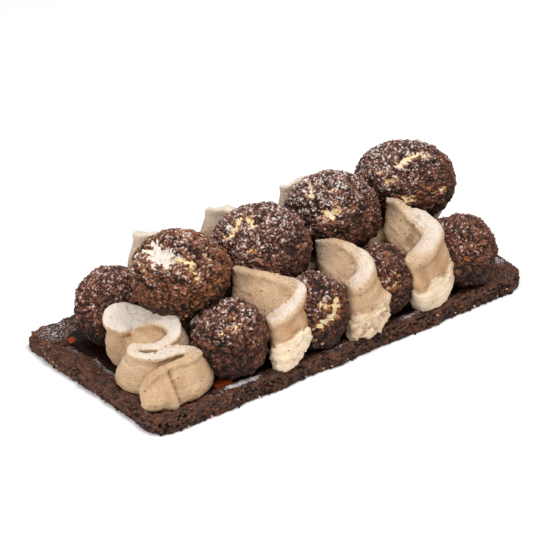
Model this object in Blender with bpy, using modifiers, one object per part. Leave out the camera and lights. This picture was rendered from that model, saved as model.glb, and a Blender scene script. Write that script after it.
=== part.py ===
"""A chocolate cream puff cake.

A crumbly cocoa shortbread base with a raised rim holds a thin layer of caramel. Two rows of small
crackled choux puffs stand on the caramel, a row of four large ones lies in a bed of cream between
them, and ribbons of chocolate cream are piped down both long sides and over two corners.

Units are metres. The origin is on the ground under the middle of the base, X runs along the cake,
Y across it and Z up.
"""

import bmesh
import bpy
import numpy as np
from mathutils import Vector, noise

MM = 0.001  # sizes below are in millimetres, and this turns them into metres

# Base: a slab with a raised rim
BASE_LENGTH = 231.0
BASE_WIDTH = 108.0
CORNER_RADII = (15.0, 13.0, 8.0, 10.0)  # front right, back right, back left, front left
EDGE_WAVE = 1.7  # how far the hand-cut edge wanders
EDGE_WAVE_LENGTH = 22.0
RIM_HEIGHT = 8.0
RIM_WIDTH = 10.0
RECESS_HEIGHT = 4.5
BASE_CRAG = 0.55  # relief of the crumbly wall
BASE_POINTS = 96  # round the outline

# Caramel on the recess floor
CARAMEL_LENGTH = 200.0
CARAMEL_WIDTH = 85.0
CARAMEL_THICKNESS = 1.2
CARAMEL_POINTS = 48

GAP = 0.3  # between pieces that touch
CARAMEL_TOP = RECESS_HEIGHT + GAP + CARAMEL_THICKNESS
STAND = CARAMEL_TOP + GAP  # where the small puffs and the cream stand

# Choux puffs: centre x, y, z, then half the width and half the height
LARGE_PUFFS = (
    (-65.7, -3.8, 46.5, 24.4, 19.6),
    (-20.2, -7.4, 46.5, 24.4, 19.1),
    (29.6, -0.8, 46.8, 23.9, 19.3),
    (80.6, 3.3, 47.8, 25.2, 18.6),
)
FRONT_PUFFS = (
    (-58.4, -33.0, 23.5, 18.6, 17.2),
    (-11.0, -37.6, 23.5, 17.4, 17.2),
    (32.8, -34.9, 23.5, 17.9, 17.0),
    (83.6, -34.0, 23.2, 18.3, 16.8),
)
BACK_PUFFS = (
    (-81.8, 25.6, 23.5, 19.1, 17.4),
    (-34.5, 30.0, 23.3, 18.4, 17.0),
    (12.0, 32.5, 23.5, 18.0, 17.0),
    (58.6, 32.0, 23.4, 18.5, 17.2),
)
LARGE_CUTS = 6  # each face of the starting cube becomes CUTS + 1 squares a side
SMALL_CUTS = 4
PUFF_LUMP = 1.2  # slow unevenness of a puff
PUFF_CRAG = 1.3  # relief of the cracked crust
UNDERSIDE_DEPTH = 1.1  # the lower half is this much deeper than the upper half, then cut flat

# Bed of cream between the two rows of small puffs
BED_X = (-80.0, 94.0)
BED_Y = (-13.0, 14.0)
BED_TOP = 31.0

# Cream ribbons, piped on edge. Each station has a point of the wall's crest, the point of its foot
# below it and half the thickness of the crest there.
CORNER_ZIGZAG = (
    ((-102, -2, 29.5), (-102, 0, 6), 5.0),
    ((-92, 4, 31), (-93, 5, 6), 8.5),
    ((-84, 0, 31), (-84, 2, 6), 5.0),
    ((-79, -11, 32), (-77, -9, 6), 3.0),
    ((-80, -18, 31), (-75, -17, 6), 2.8),
    ((-89, -20, 28), (-88, -17, 6), 2.5),
    ((-99, -17, 26), (-102, -10, 6), 2.6),
    ((-103, -21, 25.5), (-105, -17, 6), 2.5),
    ((-95, -26, 25.5), (-97, -24, 6), 2.5),
    ((-83, -27, 26), (-78, -25, 6), 2.6),
    ((-79, -33, 25.5), (-74, -32, 6), 2.6),
    ((-88, -38, 24), (-82, -40, 6), 2.6),
    ((-99, -38, 21.5), (-96, -42, 6), 3.0),
    ((-108, -37, 17), (-107, -38, 6), 3.5),
    ((-105, -45, 13), (-104, -46, 7), 3.0),
)
RIBBON_A = (
    ((-45, -18, 49), (-43, -12, 30), 2.2),
    ((-37, -27, 47.5), (-39, -21, 25), 2.4),
    ((-29, -35, 45), (-33, -30, 20), 2.8),
    ((-23.5, -39, 41), (-27, -38, 15), 3.8),
    ((-29, -42, 36.5), (-28, -46, 14), 4.8),
    ((-36.5, -41.5, 33), (-37, -49, 8), 5.0),
    ((-43, -39, 30), (-43, -46, 9), 3.8),
)
RIBBON_B = (
    ((6, -15, 45.5), (5, -15, 30), 2.2),
    ((14, -22, 45.5), (10, -24, 25), 2.6),
    ((19, -30, 44.5), (15, -33, 19), 3.4),
    ((20, -36, 41), (22, -40, 16), 4.8),
    ((17, -40.5, 37), (24, -47, 13), 6.0),
    ((11, -41, 34), (13, -50, 8), 5.5),
    ((5, -39, 31.5), (2, -49, 7), 4.0),
)
RIBBON_C = (
    ((58, -8, 49), (57, -7, 31), 2.8),
    ((60, -15, 49.5), (59, -14, 27), 2.6),
    ((62, -21, 46.5), (61, -22, 22), 3.2),
    ((65, -28, 45.5), (64, -30, 18), 5.0),
    ((65, -34, 41.5), (67, -41, 16), 6.5),
    ((58, -36, 37), (61, -47, 9), 6.0),
    ((50, -35, 32), (51, -44, 9), 4.2),
)
FOOT_HALF = 5.0  # half thickness of a ribbon's foot
ZIGZAG_FOOT_HALF = 6.5
RIBBON_STEPS = 8  # sections from one station to the next
BACK_SHIFT = (6.0, 4.0)  # the back ribbons lie this much to the right and to the front
VOXEL = 1.4  # detail that survives where the folds of a ribbon merge
RIBBON_TRIANGLES = 300
ZIGZAG_TRIANGLES = 620


def new_collection(name):
    collection = bpy.data.collections.new(name)
    bpy.context.scene.collection.children.link(collection)
    return collection


def new_material(name, colour, roughness):
    material = bpy.data.materials.new(name)
    material.use_nodes = True
    shader = material.node_tree.nodes["Principled BSDF"]
    shader.inputs["Base Color"].default_value = (*colour, 1.0)
    shader.inputs["Roughness"].default_value = roughness
    shader.inputs["Metallic"].default_value = 0.0
    return material


def new_object(name, mesh_in_mm, collection, material=None):
    """An object made of a bmesh whose points are in millimetres."""
    bmesh.ops.scale(mesh_in_mm, vec=(MM, MM, MM), verts=mesh_in_mm.verts)
    bmesh.ops.recalc_face_normals(mesh_in_mm, faces=mesh_in_mm.faces)
    mesh = bpy.data.meshes.new(name)
    mesh_in_mm.to_mesh(mesh)
    mesh_in_mm.free()
    if material:
        mesh.materials.append(material)
        mesh.shade_smooth()
    obj = bpy.data.objects.new(name, mesh)
    collection.objects.link(obj)
    return obj


def apply_modifiers(obj):
    graph = bpy.context.evaluated_depsgraph_get()
    mesh = bpy.data.meshes.new_from_object(obj.evaluated_get(graph))
    obj.modifiers.clear()
    obj.data = mesh


def join_rings(rings):
    """A closed surface through rings of equally many points, with a flat cap on each end."""
    loft = bmesh.new()
    rows = [[loft.verts.new(point) for point in ring] for ring in rings]
    count = len(rows[0])
    for lower, upper in zip(rows, rows[1:]):
        for i in range(count):
            j = (i + 1) % count
            loft.faces.new((lower[i], lower[j], upper[j], upper[i]))
    loft.faces.new(rows[0])
    loft.faces.new(rows[-1])
    return loft


# ---------------------------------------------------------------- base and caramel


def outline(length, width, count):
    """Points and outward normals, evenly spaced round a wavy rectangle with rounded corners."""
    corners = zip(((1, -1), (1, 1), (-1, 1), (-1, -1)), CORNER_RADII)
    dense = []
    for turn, ((side_x, side_y), radius) in enumerate(corners):
        angles = np.radians(np.linspace(-90, 0, 16) + 90 * turn)
        middle = ((length / 2 - radius) * side_x, (width / 2 - radius) * side_y)
        dense.append(middle + radius * np.stack([np.cos(angles), np.sin(angles)], axis=1))
    dense = np.concatenate([*dense, dense[0][:1]])
    travelled = np.append(0, np.cumsum(np.linalg.norm(np.diff(dense, axis=0), axis=1)))
    wanted = np.linspace(0, travelled[-1], count, endpoint=False)
    points = np.stack([np.interp(wanted, travelled, dense[:, k]) for k in (0, 1)], axis=1)
    along = np.roll(points, -1, axis=0) - np.roll(points, 1, axis=0)
    normals = np.stack([along[:, 1], -along[:, 0]], axis=1)
    normals /= np.linalg.norm(normals, axis=1)[:, None]
    for point, normal in zip(points, normals):
        wave = noise.noise(Vector((point[0], point[1], 0)) / EDGE_WAVE_LENGTH)
        point += normal * EDGE_WAVE * wave
    return points, normals


def outline_ring(edge, inset, height, crag=0.0):
    """An edge moved inwards by inset at one height, roughened by crag."""
    ring = []
    for point, normal in zip(*edge):
        x, y = point - normal * inset
        rough = crag * noise.noise_vector(Vector((x, y, height * 2)) / 2.3)
        ring.append((x + rough.x, y + rough.y, height + rough.z))
    return ring


def make_base(collection, material):
    profile = (
        (1.3, 0.0, 0.0),
        (0.3, 1.2, 0.6),
        (0.0, 3.4, 1.0),
        (0.3, 5.8, 1.0),
        (1.3, 7.3, 0.9),
        (3.3, RIM_HEIGHT, 0.5),
        (5.8, RIM_HEIGHT - 0.5, 0.4),
        (8.2, RIM_HEIGHT - 2.0, 0.3),
        (RIM_WIDTH, RECESS_HEIGHT, 0.0),
    )
    edge = outline(BASE_LENGTH, BASE_WIDTH, BASE_POINTS)
    rings = [outline_ring(edge, inset, z, BASE_CRAG * rough) for inset, z, rough in profile]
    return new_object("base", join_rings(rings), collection, material)


def make_caramel(collection, material):
    low = RECESS_HEIGHT + GAP
    profile = ((0.0, low), (0.0, low + 0.7), (0.9, CARAMEL_TOP))
    edge = outline(CARAMEL_LENGTH, CARAMEL_WIDTH, CARAMEL_POINTS)
    rings = [outline_ring(edge, inset, z) for inset, z in profile]
    return new_object("caramel", join_rings(rings), collection, material)


def make_base_clearance(collection):
    """The space that the base and the caramel keep for themselves, for cutting the cream."""
    rim = RIM_HEIGHT + 1.5 * GAP
    profile = ((-6.0, -6.0), (-6.0, rim), (RIM_WIDTH - 3.0, rim), (RIM_WIDTH + 1.0, STAND))
    edge = outline(BASE_LENGTH, BASE_WIDTH, CARAMEL_POINTS)
    rings = [outline_ring(edge, inset, z) for inset, z in profile]
    return new_object("base_clearance", join_rings(rings), collection)


# ---------------------------------------------------------------- puffs


def ground_under(x, y):
    """The lowest a puff may reach: the caramel, rising to the rim near the edge."""
    inset = min(BASE_LENGTH / 2 - abs(x), BASE_WIDTH / 2 - abs(y))
    rise = np.clip((RIM_WIDTH + 3.0 - inset) / 5.0, 0.0, 1.0)
    return STAND + rise * (RIM_HEIGHT + 2 * GAP - STAND)


def inside(point, puff, margin):
    """How deep the point lies in another puff grown by margin: under 1 is inside."""
    x, y, z, half_width, half_height = puff
    across = np.hypot(point.x - x, point.y - y) / (half_width + margin)
    return np.hypot(across, (point.z - z) / (half_height + margin))


def make_puff_mesh(puff, cuts, seed, neighbours=(), grow=0.0):
    """A lumpy, slightly flattened ball with a flat underside, dented where a neighbour presses."""
    x, y, z, half_width, half_height = puff
    centre = Vector((x, y, z))
    ball = bmesh.new()
    bmesh.ops.create_cube(ball, size=2.0)
    bmesh.ops.subdivide_edges(ball, edges=ball.edges, cuts=cuts, use_grid_fill=True)
    for vert in ball.verts:
        # tan spreads the squares of the cube evenly over the ball
        direction = Vector([np.tan(c * np.pi / 4) for c in vert.co]).normalized()
        lump = PUFF_LUMP * noise.noise(direction * 1.6 + Vector((seed, 0, 0)))
        crag = PUFF_CRAG * noise.noise(direction * half_width / 4.5 + Vector((0, seed, 0)))
        swell = lump + crag + grow
        depth = half_height if direction.z > 0 else half_height * UNDERSIDE_DEPTH
        offset = Vector(
            (
                direction.x * (half_width + swell),
                direction.y * (half_width + swell),
                max(direction.z * (depth + swell), -half_height - grow),
            )
        )
        for neighbour in neighbours:
            margin = PUFF_LUMP + 2 * GAP
            while inside(centre + offset, neighbour, margin) < 1 and offset.length > 1:
                offset *= 0.985
        vert.co = centre + offset
        vert.co.z = max(vert.co.z, ground_under(vert.co.x, vert.co.y) - grow)
    bmesh.ops.triangulate(ball, faces=ball.faces, quad_method="FIXED")
    return ball


def make_puffs(collection, clearances, material):
    """The three rows of puffs, and for each a slightly larger copy that cuts the cream."""
    rows = (
        ("puff_front", FRONT_PUFFS, SMALL_CUTS),
        ("puff_back", BACK_PUFFS, SMALL_CUTS),
        ("puff_large", LARGE_PUFFS, LARGE_CUTS),
    )
    placed = []
    for name, row, cuts in rows:
        for number, puff in enumerate(row, start=1):
            seed = 3.7 * len(placed)
            solid = make_puff_mesh(puff, cuts, seed, neighbours=placed)
            new_object(f"{name}_{number}", solid, collection, material)
            around = make_puff_mesh(puff, cuts, seed, grow=1.3 * GAP)
            new_object(f"{name}_{number}_clearance", around, clearances)
            placed.append(puff)


# ---------------------------------------------------------------- cream


def smooth_curve(points, steps):
    """A Catmull-Rom curve through the points."""
    points = np.array([points[0], *points, points[-1]], float)
    curve = []
    for before, start, end, after in zip(points, points[1:], points[2:], points[3:]):
        for t in np.arange(steps) / steps:
            curve.append(
                start
                + (end - before) * t / 2
                + (2 * before - 5 * start + 4 * end - after) * t**2 / 2
                + (3 * start - before - 3 * end + after) * t**3 / 2
            )
    return np.array([*curve, points[-1]])


def make_ribbon_mesh(stations, foot_half):
    """A wall between two rails, thick at its foot and thin at its crest, with rounded ends."""
    crest = smooth_curve([station[0] for station in stations], RIBBON_STEPS)
    foot = smooth_curve([station[1] for station in stations], RIBBON_STEPS)
    crest_half = smooth_curve([[station[2]] for station in stations], RIBBON_STEPS)
    along = np.gradient((crest + foot) / 2, axis=0)
    side = np.cross(along, crest - foot)
    side /= np.linalg.norm(side, axis=1)[:, None]
    from_end = np.minimum(np.arange(len(crest)), np.arange(len(crest))[::-1])
    fullness = np.sqrt(1 - (1 - np.clip((from_end + 0.5) / 5, 0, 1)) ** 2)
    heights = np.array([0.0, 0.2, 0.4, 0.6, 0.8, 0.93, 1.0])
    shoulder = np.array([1.0, 1.0, 1.0, 1.0, 1.0, 1.0, 0.6])
    rings = []
    for top, low, across, thin, full in zip(crest, foot, side, crest_half, fullness):
        halves = (foot_half + (thin - foot_half) * heights**0.8) * shoulder * full
        left = [low + (top - low) * h - across * half for h, half in zip(heights, halves)]
        right = [low + (top - low) * h + across * half for h, half in zip(heights, halves)]
        rings.append(left + right[::-1])
    return join_rings(rings)


def keep_largest_body(obj):
    """Drops the scraps that a cut leaves beside the main body."""
    whole = bmesh.new()
    whole.from_mesh(obj.data)
    left = set(whole.verts)
    bodies = []
    while left:
        body = set()
        edge = {left.pop()}
        while edge:
            body |= edge
            edge = {e.other_vert(v) for v in edge for e in v.link_edges} - body
        left -= body
        bodies.append(body)
    bodies.sort(key=len)
    scraps = [vert for body in bodies[:-1] for vert in body]
    bmesh.ops.delete(whole, geom=scraps, context="VERTS")
    whole.to_mesh(obj.data)
    whole.free()


def merge_folds(obj, triangles):
    """Fuses the folds of a ribbon where they touch, then thins the mesh out."""
    remesh = obj.modifiers.new("merge_folds", "REMESH")
    remesh.mode = "VOXEL"
    remesh.voxel_size = VOXEL * MM
    apply_modifiers(obj)
    decimate = obj.modifiers.new("thin_out", "DECIMATE")
    decimate.ratio = triangles / (2 * len(obj.data.polygons))
    apply_modifiers(obj)


def cut_clear(obj, clearances):
    """Cuts away what would run into the pieces that the cream lies against."""
    cut = obj.modifiers.new("cut_clear", "BOOLEAN")
    cut.operation = "DIFFERENCE"
    cut.operand_type = "COLLECTION"
    cut.collection = clearances
    apply_modifiers(obj)
    keep_largest_body(obj)
    obj.data.shade_smooth()


def make_bed(collection, clearances, material):
    """The bed that the large puffs lie in, and its clearance, which cuts the ribbons."""

    def block(grow):
        low = Vector((BED_X[0] - grow, BED_Y[0] - grow, STAND - grow))
        high = Vector((BED_X[1] + grow, BED_Y[1] + grow, BED_TOP + grow))
        cube = bmesh.new()
        bmesh.ops.create_cube(cube, size=1.0)
        bmesh.ops.scale(cube, vec=high - low, verts=cube.verts)
        bmesh.ops.translate(cube, vec=(low + high) / 2, verts=cube.verts)
        return cube

    bed = new_object("cream_bed", block(0.0), collection, material)
    cut_clear(bed, clearances)
    new_object("cream_bed_clearance", block(GAP), clearances)


def turned_round(stations, lift=0.0, shift=(0.0, 0.0)):
    """A ribbon turned half a turn about the middle of the cake, with its fold lifted higher."""
    turned = []
    for crest, foot, crest_half in stations:
        raised = crest[2] + lift * np.clip((-crest[1] - 12) / 15, 0, 1)
        crest = (shift[0] - crest[0], -shift[1] - crest[1], raised)
        foot = (shift[0] - foot[0], -shift[1] - foot[1], foot[2])
        turned.append((crest, foot, crest_half))
    return turned


def make_ribbons(collection, clearances, material):
    ribbons = {
        "cream_front_1": CORNER_ZIGZAG,
        "cream_front_2": RIBBON_A,
        "cream_front_3": RIBBON_B,
        "cream_front_4": RIBBON_C,
        "cream_back_1": turned_round(RIBBON_C, lift=8.0, shift=BACK_SHIFT),
        "cream_back_2": turned_round(RIBBON_B, lift=8.0, shift=BACK_SHIFT),
        "cream_back_3": turned_round(RIBBON_A, lift=3.5, shift=BACK_SHIFT),
        "cream_back_4": turned_round(CORNER_ZIGZAG),
    }
    for name, stations in ribbons.items():
        long = len(stations) == len(CORNER_ZIGZAG)
        foot_half = ZIGZAG_FOOT_HALF if long else FOOT_HALF
        ribbon = new_object(name, make_ribbon_mesh(stations, foot_half), collection, material)
        merge_folds(ribbon, ZIGZAG_TRIANGLES if long else RIBBON_TRIANGLES)
        cut_clear(ribbon, clearances)


# ---------------------------------------------------------------- the cake


def main():
    for obj in list(bpy.data.objects):
        bpy.data.objects.remove(obj)
    cake = new_collection("cream_puff_cake")
    clearances = new_collection("clearances")

    shortbread = new_material("cocoa_shortbread", (0.075, 0.040, 0.027), 0.85)
    caramel = new_material("soft_caramel", (0.28, 0.09, 0.025), 0.20)
    crust = new_material("cracked_cocoa_crust", (0.085, 0.042, 0.027), 0.80)
    cream = new_material("chocolate_cream", (0.62, 0.42, 0.26), 0.60)

    make_base(cake, shortbread)
    make_caramel(cake, caramel)
    make_base_clearance(clearances)
    make_puffs(cake, clearances, crust)
    make_bed(cake, clearances, cream)
    make_ribbons(cake, clearances, cream)

    for obj in clearances.objects:
        obj.hide_render = True
        obj.display_type = "WIRE"


main()
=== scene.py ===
"""The looks of a chocolate cream puff cake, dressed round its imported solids.

The sections follow the cake as it is put together: the shortbread base, the caramel, the choux puffs,
the cream that beds them, the piped ribbons, and at the end the floor, the light and the camera.
Sizes are in millimetres, and MM turns them into metres. The last section is in metres.
"""

import bmesh
import bpy
import numpy as np
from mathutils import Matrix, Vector, kdtree, noise


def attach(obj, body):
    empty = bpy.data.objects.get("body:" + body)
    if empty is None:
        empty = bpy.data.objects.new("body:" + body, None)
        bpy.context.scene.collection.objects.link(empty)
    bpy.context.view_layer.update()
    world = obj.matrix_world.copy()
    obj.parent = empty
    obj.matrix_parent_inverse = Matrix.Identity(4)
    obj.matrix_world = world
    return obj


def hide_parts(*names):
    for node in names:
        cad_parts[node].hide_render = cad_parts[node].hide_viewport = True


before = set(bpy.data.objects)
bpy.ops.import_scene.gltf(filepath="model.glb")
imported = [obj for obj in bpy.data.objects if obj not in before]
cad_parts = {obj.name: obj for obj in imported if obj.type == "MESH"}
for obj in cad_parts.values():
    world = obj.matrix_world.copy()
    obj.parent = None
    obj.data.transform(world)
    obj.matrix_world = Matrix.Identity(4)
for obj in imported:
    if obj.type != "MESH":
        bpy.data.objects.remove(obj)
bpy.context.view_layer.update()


# ---------------------------------------------------------------- shortbread base
# A slab of cocoa sable, cut by hand and baked with its rim pushed up round the filling. Its broken
# wall is open crumb, its rim is smoother, and icing sugar has fallen on it.

MM = 0.001
BASE_LENGTH = 231.6
BASE_WIDTH = 109.0
CORNER_RADII = (15.0, 13.0, 8.0, 10.0)  # front right, back right, back left, front left
EDGE_WAVE = 1.7  # how far the hand-cut edge wanders
EDGE_WAVE_LENGTH = 22.0
RIM_HEIGHT = 8.0
RIM_WIDTH = 10.0
RECESS_HEIGHT = 4.5
# Profile from the underside over the rim to the floor of the recess: inset from the edge, height
BASE_PROFILE = (
    (1.3, 0.0),
    (0.4, 0.8),
    (0.1, 2.0),
    (0.0, 3.4),
    (0.2, 5.4),
    (0.8, 6.9),
    (2.0, 7.8),
    (3.5, RIM_HEIGHT),
    (5.8, RIM_HEIGHT - 0.3),
    (8.2, RIM_HEIGHT - 0.8),
    (RIM_WIDTH + 0.5, RIM_HEIGHT - 1.5),
    (RIM_WIDTH + 2.2, RECESS_HEIGHT + 1.3),
    (RIM_WIDTH + 4.0, RECESS_HEIGHT + 0.4),
    (RIM_WIDTH + 6.0, RECESS_HEIGHT),
    (RIM_WIDTH + 10.0, RECESS_HEIGHT),
)
BASE_POINTS = 1080  # round the outline
BASE_RINGS = 58  # along the profile
CRUMB = 2.2  # size of a crumb of the wall
PORE = 1.6  # size of a pore between the crumbs
PORE_DEPTH = 1.9
KNEADED = 8.0  # size of the soft lumps that fingers left in the rim
PINCHED = 3.5  # and of the folds between them
# Icing sugar on the rim: middle x and y, half length along x, half width along y, how thick
RIM_SUGAR = (
    (-101, 45, 14, 10, 0.27),
    (-103, 27, 6, 8, 0.25),
    (-101.5, 4, 4, 14, 0.36),
    (-63, -47.5, 12, 3.0, 0.95),
    (-78, -49, 6, 2.2, 0.25),
    (-10, -50, 9, 1.8, 0.35),
    (38, -49, 9, 2.4, 0.4),
    (112, -33, 5, 8, 0.38),
    (100, 46, 14, 7, 0.38),
    (20, 50, 16, 3, 0.3),
    (-40, 50, 12, 3, 0.3),
)


def linear(code):
    """An sRGB hex colour as linear red, green, blue and alpha."""
    srgb = np.array([int(code[i : i + 2], 16) for i in (1, 3, 5)]) / 255
    rgb = np.where(srgb <= 0.04045, srgb / 12.92, ((srgb + 0.055) / 1.055) ** 2.4)
    return (*rgb.tolist(), 1.0)


COLOURS = {"out": 2, "data_type": "RGBA"}  # for a Mix node that blends two colours


def add(material, kind, inputs, out=0, **settings):
    """Adds a shader node with its settings, links or sets its inputs, and returns one output."""
    tree = material.node_tree
    node = tree.nodes.new("ShaderNode" + kind)
    for name, value in settings.items():
        setattr(node, name, value)
    for key, value in inputs.items():
        if isinstance(value, bpy.types.NodeSocket):
            tree.links.new(value, node.inputs[key])
        else:
            node.inputs[key].default_value = value
    return node.outputs[out]


def new_material(name, inputs):
    """A material whose Principled shader has these numbers set on its own sockets."""
    material = bpy.data.materials.new(name)
    material.use_nodes = True
    shader = material.node_tree.nodes["Principled BSDF"]
    for socket, value in inputs.items():
        shader.inputs[socket].default_value = value
    return material


def wire(material, sockets):
    """Links what the nodes have worked out to the material's Principled shader."""
    shader = material.node_tree.nodes["Principled BSDF"]
    for name, socket in sockets.items():
        material.node_tree.links.new(socket, shader.inputs[name])


def dust(material, place, colour, coverage, speck, sugar, veil, thickest=1.0):
    """Icing sugar over a colour: specks of one size, that close up as the coverage grows.

    Real ones are too fine to show, so they are drawn coarser. With a wide veil they run into each
    other, as on a damp surface, and the thickest layer lets some of the colour through.
    """
    specks = add(
        material,
        "TexNoise",
        {"Vector": place, "Scale": 1 / (speck * MM), "Detail": 3.0, "Roughness": 0.6},
    )
    fallen = add(material, "Math", {0: coverage, 1: 0.5, 2: specks}, operation="MULTIPLY_ADD")
    limits = {"From Min": 0.73 - veil, "From Max": 0.73 + veil, "To Max": thickest}
    mask = add(material, "MapRange", {"Value": fallen, **limits})
    return add(material, "Mix", {0: mask, 6: colour, 7: sugar}, **COLOURS)


def clouds(points, size, octaves, softness=1.0):
    """Soft noise at each point, about -1 to 1, with lumps of that size and smaller ones on them."""
    places = (points / size).tolist()
    values = (noise.fractal(place, softness, 2.0, octaves) for place in places)
    return np.fromiter(values, float, len(places))


def step(values, low, high):
    """0 below low, 1 above high and a soft rise between."""
    t = np.clip((values - low) / (high - low), 0, 1)
    return t * t * (3 - 2 * t)


def put_on(name, mesh, material):
    """Puts a mesh on the cake as a smooth piece of one material, and returns the piece."""
    mesh.materials.append(material)
    mesh.shade_smooth()
    piece = bpy.data.objects.new(name, mesh)
    bpy.context.scene.collection.objects.link(piece)
    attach(piece, "root")
    return piece


def make_piece(name, points, faces, material, nodes, fields):
    """A piece from points in mm, its fields kept as attributes, that stands for CAD nodes."""
    mesh = bpy.data.meshes.new(name)
    mesh.from_pydata((points * MM).tolist(), [], faces)
    for field, values in fields.items():
        mesh.attributes.new(field, "FLOAT", "POINT").data.foreach_set("value", values)
    piece = put_on(name, mesh, material)
    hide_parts(*nodes)


def outline(length, width, count):
    """Points and outward normals, evenly spaced round a wavy rectangle with rounded corners."""
    corners = zip(((1, -1), (1, 1), (-1, 1), (-1, -1)), CORNER_RADII)
    dense = []
    for turn, ((side_x, side_y), radius) in enumerate(corners):
        angles = np.radians(np.linspace(-90, 0, 16) + 90 * turn)
        middle = ((length / 2 - radius) * side_x, (width / 2 - radius) * side_y)
        dense.append(middle + radius * np.stack([np.cos(angles), np.sin(angles)], axis=1))
    dense = np.concatenate([*dense, dense[0][:1]])
    travelled = np.append(0, np.cumsum(np.linalg.norm(np.diff(dense, axis=0), axis=1)))
    wanted = np.linspace(0, travelled[-1], count, endpoint=False)
    points = np.stack([np.interp(wanted, travelled, dense[:, k]) for k in (0, 1)], axis=1)
    reach = max(1, count // 90)
    along = np.roll(points, -reach, axis=0) - np.roll(points, reach, axis=0)
    normals = np.stack([along[:, 1], -along[:, 0]], axis=1)
    normals /= np.linalg.norm(normals, axis=1)[:, None]
    flat = np.column_stack([points, np.zeros(count)])
    wave = np.array([noise.noise(p) for p in (flat / EDGE_WAVE_LENGTH).tolist()])
    return points + normals * EDGE_WAVE * wave[:, None], normals


def loft_faces(rings, count, first=0):
    """Quads between rings of count points, and a face over each end."""
    faces = []
    last = first + (rings - 1) * count
    for low in range(first, last, count):
        for i in range(count):
            j = (i + 1) % count
            faces.append((low + i, low + j, low + count + j, low + count + i))
    faces.append(list(range(first, first + count))[::-1])
    faces.append(list(range(last, last + count)))
    return faces


profile = np.array(BASE_PROFILE)
run = np.append(0, np.cumsum(np.linalg.norm(np.diff(profile, axis=0), axis=1)))
# rings lie close together on the wall and the rim, and further apart on the floor of the recess
spread = run[-1] * np.linspace(0, 1, BASE_RINGS) ** 1.25
inset, height = (np.interp(spread, run, profile[:, k]) for k in (0, 1))
out_slope, up_slope = np.gradient(height), np.gradient(inset)
slope = np.hypot(out_slope, up_slope)
edge, edge_normals = outline(BASE_LENGTH, BASE_WIDTH, BASE_POINTS)
grid = np.empty((BASE_RINGS, BASE_POINTS, 3))
grid[:, :, :2] = edge - edge_normals * inset[:, None, None]
grid[:, :, 2] = height[:, None]
away = np.empty_like(grid)
away[:, :, :2] = edge_normals * (out_slope / slope)[:, None, None]
away[:, :, 2] = (up_slope / slope)[:, None]
points, away = grid.reshape(-1, 3), away.reshape(-1, 3)
wall = 1 - step(np.repeat(inset, BASE_POINTS), 1.2, 4.0)

rolled = points * (1, 1, 1.4)  # crumbs are wider than high, as the dough was rolled flat
crumbs = clouds(rolled, CRUMB, 3, 0.8)
porous = step(clouds(points, 16.0, 2), -0.3, 0.5)  # some stretches of the wall are more open
pores = step(clouds(rolled + 40, PORE, 3), 0.3 - 0.28 * porous, 0.6 - 0.26 * porous)
pores = pores * (0.15 + 0.85 * wall)
fine = clouds(points + 90, 0.8, 2)
kneaded = clouds(points * (1, 1, 0.4) + 20, KNEADED, 2)
pinched = clouds(points * (1, 1, 0.4) + 60, PINCHED, 3)
swell = (0.7 * wall + 0.3) * crumbs + 0.25 * fine - PORE_DEPTH * pores - 0.1 * wall
swell += 0.9 * kneaded + 0.6 * pinched - 0.25
points = points + away * (swell * step(points[:, 2], 0.0, 0.9))[:, None]
points[:, 2] = np.maximum(points[:, 2], 0)

sugar = np.zeros(len(points))
for x, y, half_x, half_y, thick in RIM_SUGAR:
    reach = np.hypot((points[:, 0] - x) / half_x, (points[:, 1] - y) / half_y)
    sugar = np.maximum(sugar, thick * (1 - step(reach, 0.35, 1.25)))
sugar = sugar * (1 - 0.85 * wall) + 0.02 * step(away[:, 2], 0.3, 0.9)

# Dry baked crumb without shine, nearly black in its pores and warmer where crumbs stand out, which
# is painted shade and painted light that follow the relief. Its grit is drawn coarser than the real
# one, which would be too fine to show.
shortbread = new_material("baked_cocoa_shortbread", {"IOR": 1.45, "Specular IOR Level": 0.3})
place = add(shortbread, "TexCoord", {}, out="Object")
stands = add(shortbread, "Attribute", {}, out="Fac", attribute_name="relief")
fallen = add(shortbread, "Attribute", {}, out="Fac", attribute_name="sugar")
tone = add(shortbread, "TexNoise", {"Vector": place, "Scale": 1 / (5 * MM), "Detail": 3.0})
tone = add(shortbread, "MapRange", {"Value": tone, "From Min": 0.36, "From Max": 0.66})
grit = add(shortbread, "TexNoise", {"Vector": place, "Scale": 1 / (0.9 * MM), "Detail": 3.0})
brown = add(shortbread, "Mix", {0: tone, 6: linear("#361C12"), 7: linear("#6E4531")}, **COLOURS)
# painted shade: the colour goes near black where the relief sinks into pores
lit = add(shortbread, "Math", {0: grit, 1: 1.0, 2: stands}, operation="MULTIPLY_ADD")
lit = add(shortbread, "MapRange", {"Value": lit, "From Min": 0.45, "From Max": 1.2})
crumb = add(shortbread, "Mix", {0: lit, 6: linear("#180B07"), 7: brown}, **COLOURS)
dusted = dust(shortbread, place, crumb, fallen, 0.9, linear("#D8D0D3"), veil=0.09, thickest=0.9)
rough = add(shortbread, "MapRange", {"Value": tone, "To Min": 0.35, "To Max": 0.85})
bump = add(
    shortbread, "Bump", {"Height": grit, "Strength": 0.9, "Distance": 0.6 * MM}, out="Normal"
)
wire(shortbread, {"Base Color": dusted, "Roughness": rough, "Normal": bump})
faces = loft_faces(BASE_RINGS, BASE_POINTS)
# relief also sets the painted shade in the material, lowest in the pores
relief = 0.5 + 0.12 * wall + 0.4 * crumbs + 0.3 * fine - 0.9 * pores
fields = {"relief": relief, "sugar": sugar}
make_piece("shortbread", points, faces, shortbread, ["base"], fields)


# ---------------------------------------------------------------- nut pieces and loose crumbs
# Chopped nuts were rolled into the dough, and some were cut through at its lower edge, where they
# show pale. Crumbs broke off the same edge and lie against it.

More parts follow.
